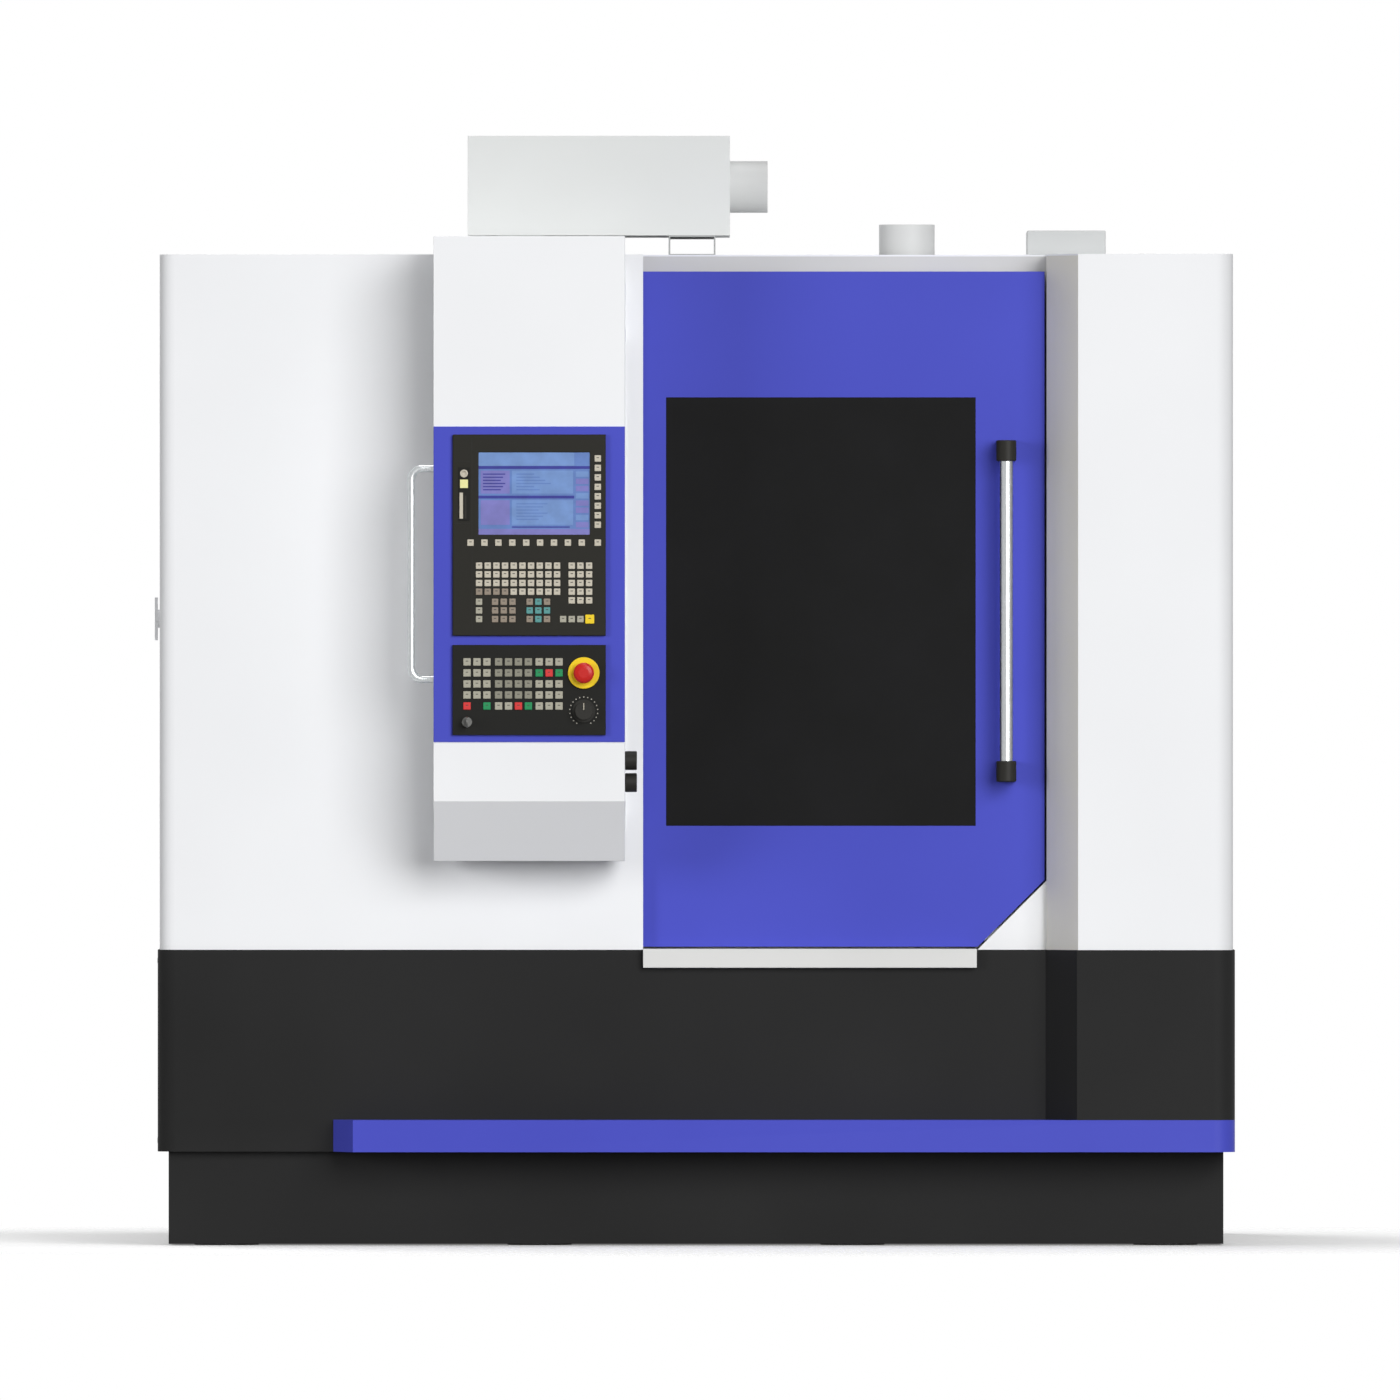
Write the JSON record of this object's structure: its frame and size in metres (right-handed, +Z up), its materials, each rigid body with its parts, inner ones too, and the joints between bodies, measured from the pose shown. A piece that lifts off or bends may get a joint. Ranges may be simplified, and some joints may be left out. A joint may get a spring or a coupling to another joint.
{
  "type": "gear hobbing machine",
  "caption": "Enclosed CNC gear hobbing machine with a sliding door, swivelling operator pendant, mist collector and a vertical hobbing mechanism inside.",
  "frame": {"origin": "floor level, centre of the bounding box", "axes": "+X to the right seen from the front, +Y to the rear, +Z up"},
  "size_m": [2.164, 2.088, 2.224],
  "materials": {
    "white_paint": "satin powder coat",
    "blue_paint": "satin powder coat",
    "black_paint": "fine textured powder coat",
    "grey_paint": "satin paint",
    "steel": "machined and ground",
    "polished_steel": "polished tube",
    "black_plastic": "moulded, matt",
    "pale_plastic": "moulded, matt",
    "yellow_plastic": "moulded, glossy",
    "red_plastic": "moulded, glossy",
    "dark_glass": "tinted laminated pane",
    "display_glass": "display behind a clear pane"
  },
  "bodies": {
    "machine": {"bed": "black_paint", "levelling_feet": "steel", "enclosure_frame": "grey_paint", "lower_front_panel": "black_paint", "lower_left_panel": "black_paint", "lower_right_panel": "black_paint", "lower_rear_panel": "black_paint", "kick_strip": "blue_paint", "front_left_panel": "white_paint", "front_right_panel": "white_paint", "door_frame": "white_paint", "sill": "white_paint", "left_side_panel": "white_paint", "right_side_panel": "white_paint", "rear_panel": "white_paint", "roof_panel": "white_paint", "work_area_liner": "steel", "door_rails": "steel", "x_rails": "steel", "x_motor": "black_plastic", "table_base": "grey_paint", "tailstock_column": "grey_paint", "pendant_bracket": "white_paint", "mist_collector": "grey_paint", "mist_stands": "grey_paint", "roof_duct": "steel", "roof_box": "grey_paint"},
    "door": {"door_panel": "blue_paint", "door_window": "dark_glass", "door_handle": "polished_steel", "handle_caps": "black_plastic"},
    "pendant": {"pendant_housing": "white_paint", "pendant_faceplate": "blue_paint", "operator_panel": "black_plastic", "screen": "display_glass", "operator_keys": "pale_plastic", "machine_panel": "black_plastic", "machine_keys": "pale_plastic", "estop_collar": "yellow_plastic", "pendant_grip": "polished_steel", "side_sockets": "black_plastic"},
    "estop": {"estop_button": "red_plastic"},
    "override": {"override_knob": "black_plastic"},
    "mode_switch": {"mode_key": "steel"},
    "column": {"column": "grey_paint", "z_motor": "black_plastic"},
    "x_screw": {"x_screw": "steel"},
    "z_screw": {"z_screw": "steel"},
    "carriage": {"carriage": "grey_paint"},
    "swivel_head": {"swivel_head": "grey_paint"},
    "shift_slide": {"shift_slide": "grey_paint"},
    "hob": {"hob": "steel", "hob_arbor": "steel"},
    "table": {"table_plate": "steel", "work_arbor": "steel"},
    "tailstock": {"tailstock_arm": "grey_paint"},
    "live_centre": {"live_centre": "steel"},
    "side_door": {"side_door": "white_paint"},
    "side_latch": {"side_latch": "grey_paint"}
  },
  "joints": [
    {"name": "door_slide", "type": "slide", "parent": "machine", "child": "door", "axis": [-1, 0, 0], "range_m": [0, 0.64]},
    {"name": "pendant_swivel", "type": "hinge", "parent": "machine", "child": "pendant", "pos_m": [-0.156, -0.8, 1.394], "axis": [0, 0, 1], "range_deg": [0, 45]},
    {"name": "estop_press", "type": "slide", "parent": "pendant", "child": "estop", "axis": [0, 1, 0], "range_m": [0, 0.005]},
    {"name": "override_turn", "type": "hinge", "parent": "pendant", "child": "override", "pos_m": [-0.224, -1.011, 1.07], "axis": [0, -1, 0], "range_deg": [-150, 150]},
    {"name": "key_turn", "type": "hinge", "parent": "pendant", "child": "mode_switch", "pos_m": [-0.457, -1.011, 1.048], "axis": [0, -1, 0], "range_deg": [0, 90]},
    {"name": "column_slide", "type": "slide", "parent": "machine", "child": "column", "axis": [1, 0, 0], "range_m": [-0.08, 0.145]},
    {"name": "x_screw_spin", "type": "hinge", "parent": "machine", "child": "x_screw", "pos_m": [-0.5, -0.1, 0.457], "axis": [1, 0, 0], "range_deg": [-1441, 2611]},
    {"name": "carriage_slide", "type": "slide", "parent": "column", "child": "carriage", "axis": [0, 0, 1], "range_m": [-0.06, 0.25]},
    {"name": "z_screw_spin", "type": "hinge", "parent": "column", "child": "z_screw", "pos_m": [-0.403, -0.1, 1.1], "axis": [0, 0, 1], "range_deg": [-1081, 4501]},
    {"name": "head_swivel", "type": "hinge", "parent": "carriage", "child": "swivel_head", "pos_m": [-0.203, -0.1, 1.2], "axis": [1, 0, 0], "range_deg": [-45, 45]},
    {"name": "shift_travel", "type": "slide", "parent": "swivel_head", "child": "shift_slide", "axis": [0, 1, 0], "range_m": [-0.06, 0.06]},
    {"name": "hob_spin", "type": "hinge", "parent": "shift_slide", "child": "hob", "pos_m": [-0.04, -0.1, 1.2], "axis": [0, 1, 0], "continuous": true},
    {"name": "table_spin", "type": "hinge", "parent": "machine", "child": "table", "pos_m": [0.26, -0.1, 0.8], "axis": [0, 0, 1], "continuous": true},
    {"name": "tailstock_slide", "type": "slide", "parent": "machine", "child": "tailstock", "axis": [0, 0, 1], "range_m": [-0.18, 0.15]},
    {"name": "centre_spin", "type": "hinge", "parent": "tailstock", "child": "live_centre", "pos_m": [0.26, -0.1, 1.4], "axis": [0, 0, 1], "continuous": true},
    {"name": "side_door_swing", "type": "hinge", "parent": "machine", "child": "side_door", "pos_m": [-1.079, -0.038, 1.28], "axis": [0, 0, -1], "range_deg": [0, 110]},
    {"name": "latch_turn", "type": "hinge", "parent": "side_door", "child": "side_latch", "pos_m": [-1.074, -0.58, 1.255], "axis": [-1, 0, 0], "range_deg": [0, 90]}
  ],
  "couplings": [
    {"joint": "x_screw_spin", "follows": "column_slide", "rad_per_m": 314.16},
    {"joint": "z_screw_spin", "follows": "carriage_slide", "rad_per_m": 314.16}
  ]
}
